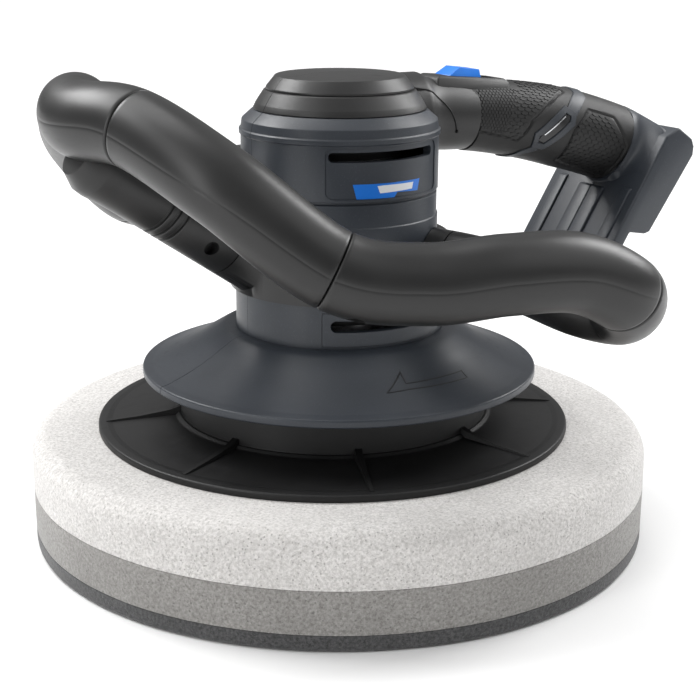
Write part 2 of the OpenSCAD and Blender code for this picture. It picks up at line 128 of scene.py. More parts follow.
def foam(name, low, high, pore_shade):
    """Open-cell foam: fine cells and sunk pores, with painted shade darkening the pores."""
    f = Finish(name, Specular_IOR_Level=0.12, Sheen_Weight=0.25, Sheen_Roughness=0.6)
    grain = f.cloud(1.05, 4) * 0.62 + f.cloud(0.42, 2) * 0.38
    tone = f.between(f.range(grain, 0.36, 0.63), low, high)
    drift = f.range(f.cloud(26, 2), 0.35, 0.65, 0, 0.22)
    tone = f.between(drift, tone, low)
    pores = f.range(f.cells(1.5), 0.10, 0.24, 1, 0)
    # Painted shade: the colour darkens in the pores, which the bump also sinks.
    tone = f.between(pores * pore_shade, tone, tuple(c * 0.42 for c in low))
    f.colour(tone)
    f.rough(f.range(grain, 0.3, 0.7, 0.98, 0.86))
    f.bump(grain - pores * 0.5, 0.42, 0.75)
    return f


foam_light = foam("foam_light", (0.47, 0.455, 0.440), (0.78, 0.762, 0.745), 0.55)
foam_grey = foam("foam_grey", (0.185, 0.178, 0.168), (0.36, 0.35, 0.335), 0.50)
foam_dark = foam("foam_dark", (0.030, 0.030, 0.031), (0.105, 0.105, 0.107), 0.50)


def placed(name, data):
    """Puts a mesh, lamp or camera in the scene under a name."""
    piece = bpy.data.objects.new(name, data)
    bpy.context.scene.collection.objects.link(piece)
    return piece


def soften(piece, flat=32):
    """Shades a piece smooth but for edges sharper than flat degrees."""
    piece.data.shade_smooth()
    piece.data.set_sharp_from_angle(angle=radians(flat))


def closed_mesh(name, points, faces, weld=False):
    """A mesh from points in millimetres with every face turned outwards."""
    mesh = bpy.data.meshes.new(name)
    mesh.from_pydata([tuple(c / 1000 for c in p) for p in points], [], faces)
    net = bmesh.new()
    net.from_mesh(mesh)
    if weld:
        bmesh.ops.remove_doubles(net, verts=net.verts, dist=2e-6)
        bmesh.ops.dissolve_degenerate(net, edges=net.edges, dist=1e-7)
    bmesh.ops.recalc_face_normals(net, faces=net.faces)
    net.to_mesh(mesh)
    net.free()
    return mesh


def solid(name, points, faces, finish, flat=32):
    """A closed piece from points in millimetres, smooth but for its edges."""
    piece = placed(name, closed_mesh(name, points, faces, weld=True))
    piece.data.materials.append(finish.material)
    soften(piece, flat)
    return piece


def joined(rows, n, looped=False, open_side=False):
    """Faces between rows of n points. Looped rows join the last to the first."""
    return [(i * n + k, i * n + (k + 1) % n, (i + 1) % rows * n + (k + 1) % n, (i + 1) % rows * n + k)
            for i in range(rows if looped else rows - 1) for k in range(n - 1 if open_side else n)]


def ends(rows, n):
    """The two faces that close the first and the last row."""
    return [tuple(range(n)), tuple(range((rows - 1) * n, rows * n))]


def corners(profile, steps=5):
    """A profile with its corners rounded: each point is (r, z) or (r, z, radius)."""
    out, n = [], len(profile)
    for i, p in enumerate(profile):
        here = Vector(p[:2])
        if len(p) < 3 or p[2] <= 0:
            out.append((p[0], p[1]))
            continue
        a, b = Vector(profile[i - 1][:2]) - here, Vector(profile[(i + 1) % n][:2]) - here
        half = a.angle(b) / 2
        reach = min(p[2] / np.tan(half), a.length * 0.48, b.length * 0.48)
        radius = reach * np.tan(half)
        centre = here + (a.normalized() + b.normalized()).normalized() * (radius / sin(half))
        s, e = here + a.normalized() * reach - centre, here + b.normalized() * reach - centre
        turn = s.angle_signed(e)
        for k in range(steps + 1):
            t = turn * k / steps
            out.append((centre.x + s.x * cos(t) + s.y * sin(t), centre.y - s.x * sin(t) + s.y * cos(t)))
    return out


def turned(name, profile, finish, centre=(0, 0), arc=(0, 360), steps=240, seam=0.0, flat=32):
    """A turned or moulded round piece. Part rounds close on their cut faces."""
    n = len(profile)
    full = arc[1] - arc[0] >= 360
    rows = [(arc[0] + (arc[1] - arc[0]) * k / steps, 0.0) for k in range(steps if full else steps + 1)]
    if seam:
        step = degrees(seam / max(p[0] for p in profile))
        rows = [(arc[0], seam)] + [(arc[0] + step, 0.0)] + rows[1:-1] + [(arc[1] - step, 0.0), (arc[1], seam)]
    area = sum(profile[i - 1][0] * profile[i][1] - profile[i][0] * profile[i - 1][1] for i in range(n))
    shrunk = []
    for i, p in enumerate(profile):
        a, b = Vector(profile[i - 1]) - Vector(p), Vector(profile[(i + 1) % n]) - Vector(p)
        along = (b.normalized() - a.normalized())
        along = along.normalized() if along.length > 1e-6 else b.normalized()
        inward = Vector((-along.y, along.x)) * (1 if area > 0 else -1)
        shrunk.append(Vector(p) + inward * seam)
    points = []
    for angle, pull in rows:
        c, s = cos(radians(angle)), sin(radians(angle))
        for p in (shrunk if pull else profile):
            r = max(0.0, p[0])
            points.append((centre[0] + r * c, centre[1] + r * s, p[1]))
    faces = joined(len(rows), n, looped=full) + ([] if full else ends(len(rows), n))
    return solid(name, points, faces, finish, flat)


def fit(piece, body, slot, *nodes):
    """Puts a finished piece on its body in place of the plain solids it stands for."""
    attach(piece, body)
    if nodes:
        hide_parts(*nodes)
    return piece


def dress(finish, *nodes):
    """Gives plain solids that stay as they are their real finish."""
    for n in nodes:
        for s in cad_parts[n].material_slots:
            s.material = finish.material


def worn_disc(name, profile, finish, amount):
    """A foam disc with the slight unevenness of a sawn and sanded edge."""
    disc = turned(name, profile, finish, steps=300, flat=60)
    for v in disc.data.vertices:
        x, y, z = (c * 1000 for c in v.co)
        r = sqrt(x * x + y * y)
        if r > 60:
            a = atan2(y, x)
            wave = 0.5 * sin(5 * a + 0.09 * z) + 0.3 * sin(13 * a + 1.7) + 0.2 * sin(29 * a + 0.31 * z)
            k = 1 - amount * (0.5 + 0.5 * wave) / r
            v.co.x *= k
            v.co.y *= k
    return disc


pad_r, base_top, mid_top, foam_top_z, pad_round = 120.0, 6.0, 22.0, 41.7, 11.0
seam_round, flat_r = 0.35, 60
for name, node, slot, finish, low, high, low_round, high_round, waist, shoulder, steps in (
        ("foam_base", "foam_base", "foam_dark", foam_dark, 0, base_top, 1.8, seam_round, (3,), (), 5),
        ("foam_middle", "foam_mid", "foam_grey", foam_grey, base_top, mid_top, seam_round, seam_round, (10, 18), (), 5),
        ("foam_top", "foam_top", "foam_light", foam_light, mid_top, foam_top_z, seam_round, pad_round, (26,), (100,), 12)):
    profile = [(0, low), (flat_r, low), (pad_r, low, low_round)] + [(pad_r, z) for z in waist]
    profile += [(pad_r, high, high_round)] + [(r, high) for r in (*shoulder, flat_r, 0)]
    disc = worn_disc(name, corners(profile, steps), finish, 0.35)
    fit(disc, "pad", slot, node)

hooks = Finish("hook_fabric", Sheen_Weight=0.4)
pile = hooks.cells(0.9)
hooks.colour(hooks.between(hooks.range(pile, 0.1, 0.5), (0.07, 0.07, 0.072), (0.02, 0.02, 0.021)))
hooks.rough(hooks.range(pile, 0, 0.6, 0.85, 0.97))
hooks.bump(pile, 0.5, 0.6)
dress(hooks, "hook_disc")


# ---- Backing plate ----------------------------------------------------------
# A moulded nylon plate that carries the pad. It dishes up from a thin round rim
# to a short drum, and eight tapered ribs stiffen it. It is screwed to its hub.

def moulded(name, low, high, rough, grain_mm=0.5, depth=0.03, glint_strength=0.0, **fixed):
    """Moulded plastic: fine grain eroded into the mould by sparks, flow marks, rubbed patches and, where asked, painted
    glints.
    """
    f = Finish(name, **fixed)
    haze = f.cloud(19, 3)
    fine = f.cloud(grain_mm, 2)
    tone = f.between(f.range(haze, 0.3, 0.7), low, high)
    # Painted glints: small bright specks mixed into the colour, standing in for sparkle off the surface.
    if glint_strength:
        glint = f.range(f.cloud(0.55, 1), 0.62, 0.74) * glint_strength
        tone = f.between(glint, tone, tuple(min(1, c * 2.3 + 0.02) for c in high))
    f.colour(tone)
    scuff = f.range(f.cloud(6, 4, f.stretched(1, 1, 5)), 0.55, 0.75, 0, 0.05)
    f.rough(f.range(haze, 0.3, 0.7, rough - 0.025, rough + 0.03) + scuff)
    f.bump(fine, depth, 0.5)
    return f


nylon = moulded("plate_nylon", (0.0050, 0.0050, 0.0052), (0.0075, 0.0075, 0.0078),
                0.46, 0.8, 0.02, Specular_IOR_Level=0.4)
orbit, orbit_way = 2.4, radians(150)
plate_x, plate_y = orbit * cos(orbit_way), orbit * sin(orbit_way)
rim_r, drum_r, web_z = 91.9, 60.0, 47.0
plate = turned("backing_plate", corners([
    (10.5, 42.9), (88, 42.9), (88, 41.7), (rim_r, 41.7, 0.5), (rim_r, 44.3, 0.8), (88.5, 44.5, 0.6),
    (86.5, 44.35, 0.6), (62, 46.4, 1.6), (60.9, 47.6, 0.3), (drum_r, 47.6, 0.2), (drum_r, 61.5, 0.8),
    (57, 61.5, 0.8), (57, web_z), (10.5, web_z)]),
    nylon, centre=(plate_x, plate_y), steps=288)
fit(plate, "pad", "black_plastic", "backing_plate")


def wire(tree, *joints):
    """Joins nodes of a tree, each joint being (node, output, node, input)."""
    for source, output, target, entry in joints:
        tree.links.new(source.outputs[output], target.inputs[entry])


def tree_for(name, item_finish, inputs):
    """An empty geometry tree with named sizes, ending in real geometry with its finish."""
    tree = bpy.data.node_groups.new(name, "GeometryNodeTree")
    tree.interface.new_socket("Geometry", in_out="INPUT", socket_type="NodeSocketGeometry")
    tree.interface.new_socket("Geometry", in_out="OUTPUT", socket_type="NodeSocketGeometry")
    for label, kind in inputs:
        tree.interface.new_socket(label, in_out="INPUT", socket_type=kind)
    enter, leave = tree.nodes.new("NodeGroupInput"), tree.nodes.new("NodeGroupOutput")
    real, paint = tree.nodes.new("GeometryNodeRealizeInstances"), tree.nodes.new("GeometryNodeSetMaterial")
    paint.inputs["Material"].default_value = item_finish.material
    wire(tree, (real, 0, paint, "Geometry"), (paint, 0, leave, 0))
    return tree, enter, real


def grown(name, host_mesh, tree, values, flat=32):
    """Runs a geometry tree on a host mesh and keeps the result as a plain mesh."""
    host = placed(name + "_host", host_mesh)
    grow = host.modifiers.new("grow", "NODES")
    grow.node_group = tree
    for item in tree.interface.items_tree:
        if item.item_type == "SOCKET" and item.in_out == "INPUT" and item.name in values:
            grow[item.identifier] = values[item.name]
    result = bpy.data.meshes.new_from_object(host.evaluated_get(bpy.context.evaluated_depsgraph_get()))
    bpy.data.objects.remove(host)
    piece = placed(name, result)
    soften(piece, flat)
    return piece


def ring_tree(name, finish):
    """Copies one item round an axis: Count of them, First angle, at Centre."""
    sizes = ("Count", "NodeSocketInt"), ("First angle", "NodeSocketFloat"), ("Centre", "NodeSocketVector")
    tree, enter, real = tree_for(name, finish, sizes)
    dots, index, copy = (tree.nodes.new("GeometryNode" + kind) for kind in ("MeshLine", "InputIndex", "InstanceOnPoints"))
    step, turn, join, spin = (tree.nodes.new("ShaderNode" + kind) for kind in ("Math", "Math", "Math", "CombineXYZ"))
    step.operation, turn.operation, join.operation = "DIVIDE", "MULTIPLY", "ADD"
    step.inputs[0].default_value = 2 * pi
    dots.inputs["Offset"].default_value = (0, 0, 0)
    wire(tree, (enter, "Count", dots, "Count"), (enter, "Centre", dots, "Start Location"), (enter, "Count", step, 1),
         (step, 0, turn, 0), (index, 0, turn, 1), (turn, 0, join, 0), (enter, "First angle", join, 1), (join, 0, spin, "Z"),
         (dots, 0, copy, "Points"), (enter, "Geometry", copy, "Instance"), (spin, 0, copy, "Rotation"), (copy, 0, real, 0))
    return tree


def bar_mesh(name, sections):
    """A closed bar through four-cornered sections, in millimetres."""
    return closed_mesh(name, [p for s in sections for p in s], ends(len(sections), 4) + joined(len(sections), 4))


rib = bar_mesh("rib", [[(r, -w, lo), (r, w, lo), (r, w * 0.72, hi), (r, -w * 0.72, hi)] for r, w, lo, hi in
                       ((59.6, 1.9, 45.4, 49.9), (64, 1.7, 45.0, 48.3), (76, 1.3, 44.2, 46.2), (88.9, 0.9, 43.6, 44.7))])
rib_sizes = {"Count": 8, "First angle": radians(-21.5), "Centre": (plate_x / 1000, plate_y / 1000, 0)}
ribs = grown("backing_plate_ribs", rib, ring_tree("ribs_round_plate", nylon), rib_sizes)
fit(ribs, "pad", "black_plastic")


# ---- Pad hub and orbit drive ------------------------------------------------
# The hub is cast aluminium round a ball bearing. A steel eccentric on the motor
# shaft carries that bearing off centre, and a cast weight balances the orbit.

def machined(name, low, high, rough, metal=1.0):
    """Machined or drawn metal with fine turning lines."""
    f = Finish(name, Metallic=metal)
    lines = f.cloud(1.2, 3, f.stretched(0.25, 0.25, 6))
    f.colour(f.between(f.range(lines, 0.3, 0.7), low, high))
    f.rough(f.range(lines, 0.3, 0.7, rough - 0.05, rough + 0.08))
    f.bump(lines, 0.02, 0.4)
    return f


def cast(name, low, high, rough, metal=1.0):
    """Rough cast or sintered metal."""
    f = Finish(name, Metallic=metal)
    sand = f.cloud(1.6, 5)
    f.colour(f.between(f.range(sand, 0.3, 0.7), low, high))
    f.rough(f.range(sand, 0.3, 0.7, rough - 0.06, rough + 0.08))
    f.bump(sand, 0.12, 0.6)
    return f


steel = machined("machined_steel", (0.44, 0.44, 0.46), (0.62, 0.62, 0.64), 0.30)
hub_alu = cast("cast_aluminium", (0.50, 0.50, 0.52), (0.68, 0.68, 0.70), 0.45)
weight_iron = cast("cast_weight", (0.10, 0.10, 0.105), (0.20, 0.20, 0.205), 0.58)
dress(steel, "plate_screws", "orbit_bearing", "retaining_bolt", "eccentric", "drive_shaft")
dress(hub_alu, "plate_hub", "bearing_carrier")
dress(weight_iron, "counterweight")


# ---- Motor ------------------------------------------------------------------
# A brushed motor stands on the drive axis inside the housing: a drawn steel
# can, two magnets, a wound core with its copper commutator, and a fan below.

copper = cast("wound_copper", (0.30, 0.15, 0.08), (0.52, 0.30, 0.16), 0.38)
ferrite = cast("ferrite", (0.03, 0.03, 0.032), (0.06, 0.06, 0.063), 0.62, 0.0)
inner_plastic = moulded("inner_plastic", (0.020, 0.020, 0.021), (0.028, 0.028, 0.029), 0.50)
dress(copper, "armature")
dress(ferrite, "motor_magnets")
dress(inner_plastic, "cooling_fan", "motor_endcap", "motor_mount", "switch_body", "terminal_block")
dress(steel, "motor_can", "motor_screws", "lower_bearing", "upper_bearing", "skirt_screws", "shell_screws")


# ---- Skirt ------------------------------------------------------------------
# A wide splash skirt in two moulded halves, joined front and back. It falls in
# an easy curve from the collar to a short upright rim. A turning arrow is
# moulded in low relief on its right side; it is drawn as a thin dark cord
# round its outline, painted shade along the edge of the relief.

slate = moulded("slate_plastic", (0.0250, 0.0300, 0.0385), (0.0310, 0.0370, 0.0470), 0.42, 0.45, 0.030, 0.22)


def spline(a, b, c, d, t):
    """A smooth curve from knot b to knot c, at t between 0 and 1."""
    return [0.5 * (2 * q + (r - p) * t + (2 * p - 5 * q + 4 * r - s) * t * t + (3 * q - p - 3 * r + s) * t ** 3)
            for p, q, r, s in zip(a, b, c, d)]


def through(knots, per=6):
    """A smooth curve through knots of any length."""
    past = lambda end, inner: tuple(2 * a - b for a, b in zip(end, inner))
    k = [past(knots[0], knots[1]), *knots, past(knots[-1], knots[-2])]
    return [tuple(spline(*k[i:i + 4], step / per)) for i in range(len(k) - 3) for step in range(per)] + [tuple(knots[-1])]


skirt_line = through([(43.2, 81.0), (46, 80.3), (51, 77.4), (56, 74.3), (62, 71.2), (68, 68.6), (73.2, 66.7)], 5)
skirt_rim = [(73.2, 66.7), (76.5, 66.0, 0.9), (76.5, 63.0, 0.7), (74.1, 63.0, 0.5), (74.0, 64.6)]
skirt_out = skirt_line + corners(skirt_rim, 5)[1:-1]
skirt_in = [(r - 1.2, z - 2.4) for r, z in reversed(skirt_line[4:])]
skirt_profile = [(40.1, 81.0)] + skirt_out + [(73.9, 64.4)] + skirt_in + [(45, 78.6), (40.1, 78.6)]
halves = (("right", -1), ("left", 1))
half_turn = {-1: (-180, 0), 1: (0, 180)}
for half, s in halves:
    skirt = turned("skirt_" + half, skirt_profile, slate, arc=half_turn[s], steps=150, seam=0.22)
    fit(skirt, "housing", "slate_plastic", "skirt_" + half)


def skirt_z(r):
    for (ra, za), (rb, zb) in zip(skirt_line, skirt_line[1:]):
        if ra <= r <= rb:
            return za + (zb - za) * (r - ra) / (rb - ra)
    return skirt_line[-1][1]


def bead(name, path, radius, finish, closed=False, sides=8):
    """A thin bead or cord of plastic along a path in millimetres."""
    path = [Vector(p) for p in path]
    n, points = len(path), []
    for i, p in enumerate(path):
        before, after = (path[i - 1], path[(i + 1) % n]) if closed else (path[max(i - 1, 0)], path[min(i + 1, n - 1)])
        along = (after - before).normalized()
        side = along.cross(Vector((0, 0, 1)) if abs(along.z) < 0.9 else Vector((1, 0, 0))).normalized()
        up = side.cross(along)
        for k in range(sides):
            points.append(p + (side * cos(2 * pi * k / sides) + up * sin(2 * pi * k / sides)) * radius)
    faces = joined(n, sides, looped=closed) + ([] if closed else ends(n, sides))
    return solid(name, points, faces, finish, 50)


def along_edges(points, step):
    """Fills in the edges of an outline so that it can follow a curved surface."""
    out = []
    for a, b in zip(points, points[1:] + points[:1]):
        count = max(1, round(max(abs(x - y) for x, y in zip(a, b)) / step))
        out += [tuple(x + (y - x) * k / count for x, y in zip(a, b)) for k in range(count)]
    return out


arrow = along_edges([(-104.7, 62.5), (-96.4, 53.9), (-96.5, 59.1), (-70.7, 58.9), (-71.6, 62.4), (-96.6, 61.8)], 1.0)
arrow = [(r * cos(radians(a)), r * sin(radians(a)), skirt_z(r) - 0.05) for a, r in arrow]
# The arrow's outline is a thin dark cord: painted shade along the edge of its low relief.
arrow_outline_shade = moulded("moulded_shadow", (0.006, 0.007, 0.009), (0.008, 0.009, 0.011), 0.5)
fit(bead("skirt_arrow", arrow, 0.30, arrow_outline_shade, closed=True), "housing", "slate_plastic")


# ---- Collar and air outlets -------------------------------------------------
# The collar stands on the skirt below the ring handle. It is split with the
# skirt, and a long slotted panel on each side lets the cooling air out.

def arc_block(name, stations, r0, r1, finish, flat=40):
    """A curved block between two radii: each station is (angle, low z, high z)."""
    points, m = [], len(stations)
    for a, lo, hi in stations:
        c, s = cos(radians(a)), sin(radians(a))
        points += [(r0 * c, r0 * s, lo), (r1 * c, r1 * s, lo), (r1 * c, r1 * s, hi), (r0 * c, r0 * s, hi)]
    return solid(name, points, joined(m, 4) + ends(m, 4), finish, flat)


def slot_stations(a0, a1, lo, hi, radius, round_mm):
    """Stations of a slot with rounded ends."""
    turn = degrees(round_mm / radius)
    out = []
    for k in range(9):
        t = pi / 2 * k / 8
        out.append((a0 + turn * (1 - cos(t)), 1 - sin(t)))
    out += [(a0 + turn + (a1 - a0 - 2 * turn) * k / 40, 0) for k in range(1, 40)]
    out += [(a0 + a1 - a, d) for a, d in reversed(out[:9])]
    return [(a, lo + d * round_mm, hi - d * round_mm) for a, d in out]


def settled(piece):
    """Keeps what a piece's modifiers make as its plain mesh."""
    result = bpy.data.meshes.new_from_object(piece.evaluated_get(bpy.context.evaluated_depsgraph_get()))
    piece.modifiers.clear()
    piece.data = result


def cut_out(piece, tool):
    """Cuts a tool out of a piece for good."""
    step = piece.modifiers.new("cut", "BOOLEAN")
    step.operation, step.solver, step.object = "DIFFERENCE", "EXACT", tool
    settled(piece)
    bpy.data.objects.remove(tool)
    while len(piece.data.materials) > 1:
        piece.data.materials.pop()
    soften(piece)


collar_profile = corners([(37.3, 78.6), (40.0, 78.6), (40.0, 97.2, 0.4), (32.5, 97.2), (32.5, 95.2), (37.3, 95.2)])
for half, s in halves:
    shell = turned("collar_" + half, collar_profile, slate, arc=half_turn[s], steps=110, seam=0.18)
    first, last = (50.4, 129.6) if s > 0 else (-129.6, -50.4)
    window = [(first + (last - first) * k / 60, 82, 94.6) for k in range(61)]
    cut_out(shell, arc_block("tool", window, 35, 43, slate))
    fit(shell, "housing", "slate_plastic", "collar_" + half)
    face = [(first + 0.3 + 78.6 * k / 60, 82.15, 94.45) for k in range(61)]
    panel = arc_block("vent_panel_" + half, face, 37.35, 40.2, slate)
    slot = slot_stations(first + 4.6, last - 4.6, 87.4, 91.8, 40, 2.2)
    cut_out(panel, arc_block("tool", slot, 35, 43, slate))
    fit(panel, "housing", "slate_plastic", "vent_panel_" + half)


# ---- Yoke -------------------------------------------------------------------
# A black moulded yoke clamps round the housing. The strut and the two return
# bars of the ring handle run into it.

satin = moulded("satin_black", (0.0085, 0.0085, 0.0086), (0.0115, 0.0115, 0.0116), 0.37, 0.7, 0.012)


def merged_copy(name, node, finish, flat=35):
    """A copy of a plain solid with its flat faces merged, ready for its finish."""
    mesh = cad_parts[node].data.copy()
    net = bmesh.new()
    net.from_mesh(mesh)
    bmesh.ops.remove_doubles(net, verts=net.verts, dist=1e-5)
    bmesh.ops.dissolve_limit(net, angle_limit=radians(2), verts=net.verts, edges=net.edges)
    net.to_mesh(mesh)
    net.free()
    piece = placed(name, mesh)
    piece.data.materials.clear()
    piece.data.materials.append(finish.material)
    soften(piece, flat)
    return piece


fit(merged_copy("yoke", "yoke", satin), "housing", "black_plastic", "yoke")


# ---- Motor housing ----------------------------------------------------------
# Two moulded halves split front and back enclose the motor. Each side has an
# air inlet slot and a recessed label panel with a printed flag, left blank.

body_profile = corners([
    (32.5, 97.4), (35, 97.4), (35, 116.9), (37.4, 116.9, 0.3), (37.4, 125.0, 0.2), (36.95, 125.4, 0.2),
    (36.95, 133.5, 0.2), (36.2, 133.9, 0.2), (36.2, 134.6, 0.2), (37.4, 134.9, 0.3), (37.4, 155.0, 0.3),
    (38.0, 155.4, 0.3), (38.0, 157.0, 0.3), (37.4, 157.5, 0.3), (36.9, 160.6, 0.8),
    (32.8, 164.2, 0.5), (30.1, 164.2), (30.1, 162.5), (34.0, 159.0), (34.6, 118.9), (32.5, 116.9)], 4)
label_blue = moulded("label_blue", (0.004, 0.150, 0.62), (0.005, 0.175, 0.70), 0.34, 0.6, 0.006)
label_white = moulded("label_white", (0.74, 0.75, 0.76), (0.80, 0.81, 0.82), 0.36, 0.6, 0.006)


def tube_block(name, centre, along, radius, length, finish, steps=64):
    """A plain round block, used as a cutter."""
    along = Vector(along).normalized()
    side = along.cross(Vector((0, 1, 0)) if abs(along.y) < 0.9 else Vector((1, 0, 0))).normalized()
    up = side.cross(along)
    points = [Vector(centre) + along * t + (side * cos(2 * pi * k / steps) + up * sin(2 * pi * k / steps)) * radius
              for t in (0, length) for k in range(steps)]
    return solid(name, points, ends(2, steps) + joined(2, steps), finish)


neck_tilt = radians(4.86)
neck_end = Vector((56, 0, 158))
neck_axis, neck_up = Vector((cos(neck_tilt), 0, -sin(neck_tilt))), Vector((sin(neck_tilt), 0, cos(neck_tilt)))
neck_from = neck_end - neck_axis * 32
flag = [(-113.2, 141.3, 141.4), (-111.0, 136.0, 141.4)]
flag += [(-111 + 22.8 * k / 12, 136.0, 141.4) for k in range(1, 13)] + [(-86.2, 137.8, 141.5)]
flag += [(-86.2 + 15.7 * k / 8, 137.8 - 0.5 * k / 8, 141.5) for k in range(1, 9)] + [(-68.8, 141.5, 141.6)]
inlay = [(-98.9, 140.4, 140.6), (-97.4, 137.9, 140.6)]
inlay += [(-97.4 + 22.0 * k / 12, 137.9 + 0.45 * k / 12, 140.7) for k in range(1, 13)] + [(-74.4, 140.6, 140.75)]
for half, s in halves:
    shell = turned("housing_" + half, body_profile, slate, arc=half_turn[s], steps=130, seam=0.2)
    slot_a, slot_b = (-127, -55.5) if s < 0 else (55.5, 127)
    panel_a, panel_b = (-128.5, -50.5) if s < 0 else (50.5, 128.5)
    cut_out(shell, arc_block("tool", slot_stations(panel_a, panel_b, 135.9, 154.4, 37.4, 3.0), 37.02, 40, slate))
    cut_out(shell, arc_block("tool", slot_stations(slot_a, slot_b, 149.2, 152.8, 37.4, 1.8), 31, 41, slate))
    cut_out(shell, tube_block("tool", neck_from, neck_axis, 13.35, 40, slate))
    fit(shell, "housing", "slate_plastic", "body_" + half)
    for name, shape, r0, r1, paint, nodes in (
            ("label_flag_", flag, 36.6, 37.12, label_blue, ("label_" + half,)),
            ("label_inlay_", inlay, 36.7, 37.20, label_white, ())):
        stations = shape if s < 0 else [(-a, lo, hi) for a, lo, hi in reversed(shape)]
        fit(arc_block(name + half, stations, r0, r1, paint), "housing", "blue_plastic", *nodes)


# ---- Crown, neck and cap ----------------------------------------------------
# The black crown closes the housing and runs back as the neck of the D handle.
# It is split down the middle, and a domed cap drops into its top.

crown_black = moulded("crown_black", (0.0095, 0.0095, 0.0096), (0.0125, 0.0125, 0.0126), 0.44, 0.5, 0.03)
crown_profile = corners([(26.5, 164.3), (32.7, 164.3, 0.3), (31.6, 166.6, 0.9), (28.6, 171.1, 0.5),
                         (27.95, 171.4, 0.2), (24.6, 171.4), (24.6, 168.5)], 4)


def lofted(name, rings, finish, flat=32):
    """A closed tube wall through rings of points, out and back along the inside."""
    return solid(name, [p for r in rings for p in r], joined(len(rings), len(rings[0]), looped=True), finish, flat)


def half_lofted(name, rings, finish, flat):
    """Half a tube wall through half rings, closed along its flat side."""
    n, m = len(rings[0]), len(rings)
    faces = joined(m, n, looped=True, open_side=True) + [tuple(i * n + k for i in range(m)) for k in (0, n - 1)]
    return solid(name, [p for r in rings for p in r], faces, finish, flat)


def half_ring(centre, high, wide, s, n=40):
    """Half a ring round the neck's axis, from its top down one side."""
    return [centre + Vector((0, s * sin(pi * k / n), 0)) * wide + neck_up * cos(pi * k / n) * high for k in range(n + 1)]


def neck_section(x):
    """Centre, height and width of the neck at x, where it flares into the crown."""
    neck_r, flare, crown_top = 13.3, 3.4, 175.9
    wide = neck_r + flare * exp(-((max(x, 31) - 31) / 4.2) ** 1.2) + 0.55 * exp(-((x - 46) / 9) ** 2)
    wide = 12.9 if x > 55.9 else wide
    centre = neck_end + neck_axis * (x - 56)
    return centre, min(wide, (crown_top - centre.z) / neck_up.z if x < 40 else 99), wide


def on_switch(a, b, c):
    """A point by the switch: along the neck, across it, and up from its top."""
    return Vector((56, 0, 171.9)) + neck_axis * a + Vector((0, b, 0)) + neck_up * c


def box_tool(place, first, second, third, finish):
    """A box between two values along each direction of a place function."""
    points = [place(a, b, c) for a in first for b in second for c in third]
    faces = [(0, 1, 3, 2), (4, 6, 7, 5), (0, 4, 5, 1), (2, 3, 7, 6), (0, 2, 6, 4), (1, 5, 7, 3)]
    return solid("tool", points, faces, finish)


neck_inside = 10.8
for half, s in halves:
    crown = turned("crown_" + half, crown_profile, crown_black, arc=half_turn[s], steps=130, seam=0.2)
    cut_out(crown, tube_block("tool", neck_from, neck_axis, 12.4, 40, crown_black))
    fit(crown, "housing", "black_plastic", "crown_" + half)
    rings = [half_ring(*neck_section(x), s) for x in (24, 26, 28, *range(30, 39), 40, 42, 45, 48, 51, 54, 55.6, 56)]
    rings += [half_ring(neck_section(x)[0], neck_inside, neck_inside, s) for x in (56, 40, 24)]
    neck = half_lofted("neck_" + half, rings, crown_black, 30)
    cut_out(neck, box_tool(on_switch, (-14, 1.6), (-6.0, 6.0), (-5, 12), crown_black))
    fit(neck, "housing", "black_plastic")

# Thin dark cords along the sweep lines, and a dark dot at the end of each: painted shade of the groove that sweeps from
# the crown down onto the neck.
groove_shade = moulded("groove_shade", (0.0022, 0.0022, 0.0022), (0.0030, 0.0030, 0.0030), 0.6)
for half, s in halves:
    sweep_line = [(25.2, s * 12.2, 171.35), (27.6, s * 12.9, 171.0)]
    for x, swing in through([(29.6, 49), (33, 55), (37, 64), (40.5, 77), (43, 93), (45, 111)], 5):
        centre, high, wide = neck_section(x)
        swing = radians(swing)
        sweep_line.append(centre + Vector((0, s, 0)) * sin(swing) * wide + neck_up * cos(swing) * high)
    fit(bead("neck_line_" + half, sweep_line, 0.34, groove_shade), "housing", "black_plastic")
    dot_line = [sweep_line[-1], sweep_line[-1] + Vector((0.25, 0, -0.5))]
    fit(bead("neck_dot_" + half, dot_line, 0.7, groove_shade, sides=16), "housing", "black_plastic")

cap_profile = corners([(0, 175.4), (21, 173.2), (24.5, 171.5), (27.8, 171.5, 0.2), (27.7, 172.3, 0.4),
                       (24.3, 176.5, 0.7), (12, 177.4), (0, 177.9)], 5)
spun = moulded("cap_black", (0.0110, 0.0110, 0.0111), (0.0140, 0.0140, 0.0141), 0.40, 0.5, 0.02)
for half, s in halves:
    cap = turned("cap_" + half, cap_profile, spun, arc=half_turn[s], steps=130, seam=0.12)
    fit(cap, "housing", "black_plastic", "cap_" + half)


# ---- D handle grip ----------------------------------------------------------
# A hard plastic core carries a soft rubber overmould. The rubber has sunk
# outlines round fields of fine points and scales that give the hand hold.

rubber = moulded("grip_rubber", (0.0090, 0.0090, 0.0091), (0.0120, 0.0120, 0.0121),
                 0.52, 0.55, 0.04, Specular_IOR_Level=0.42)


def grip_z(x): return 158 - 0.085 * (x - 56) - 0.00175 * (x - 56) ** 2


def grip_point(x, a, d=0.0):
    """A point on the grip: station x, angle a round it from the right side, depth d."""
    slope = atan(-0.085 - 0.0035 * (x - 56))
    t = min(1, max(0, (x - 50) / 54))
    a = radians(a)
    v = (13.6 + 2.7 * t - d) * sin(a)
    return Vector((x - v * sin(slope), -(12.8 + 2.2 * t - d) * cos(a), grip_z(x) + v * cos(slope)))


front_field = [(50.3, 83), (47.5, 35), (55.7, -22), (75.8, -32), (78.5, -14), (80.3, 3),
               (89.6, 36), (93.1, 50), (97.2, 62), (97.2, 97)]
rear_field = [(107.6, 35), (120.6, 34), (128.5, -1), (126.6, -70), (100.3, -55), (101.1, 0)]
unrolled = 15.2 * pi / 180


def mirrored(a): return a if -90 <= a <= 90 else 180 - a


